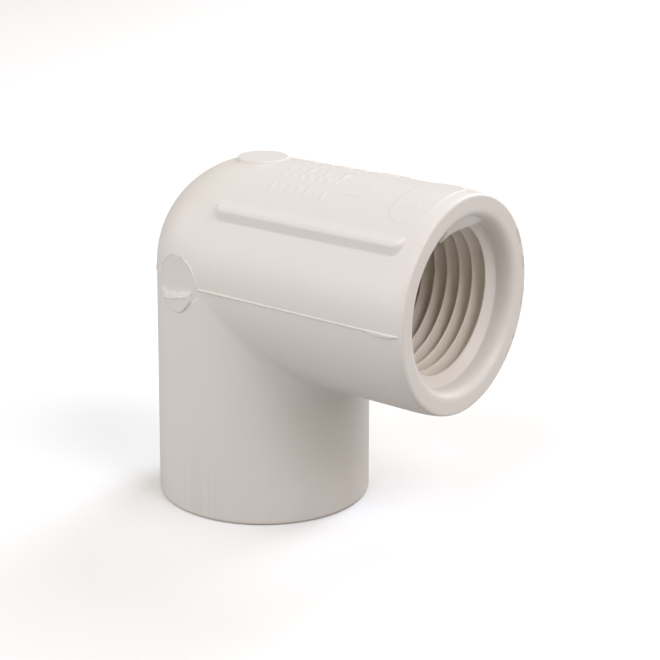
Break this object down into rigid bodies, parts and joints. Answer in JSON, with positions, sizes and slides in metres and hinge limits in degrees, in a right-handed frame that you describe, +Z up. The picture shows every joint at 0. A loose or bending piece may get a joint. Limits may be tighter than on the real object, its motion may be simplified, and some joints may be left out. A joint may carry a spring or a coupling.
{
  "type": "pipe elbow",
  "caption": "PVC pipe elbow for irrigation: a glue socket facing down and a tapered female pipe thread at a right angle to it.",
  "frame": {"origin": "middle of the bounding box on the ground plane, which is the socket rim's plane", "axes": "+Z up along the socket's axis, away from its mouth; +X along the threaded leg, out of its mouth; Y across the piece, and the body's outside is the same on both sides of Y = 0 apart from the gate stub"},
  "size_m": [0.0446, 0.0276, 0.0444],
  "materials": {
    "white_pvc": "satin off-white moulded PVC"
  },
  "bodies": {
    "root": {"elbow_body": "white_pvc"}
  },
  "joints": []
}
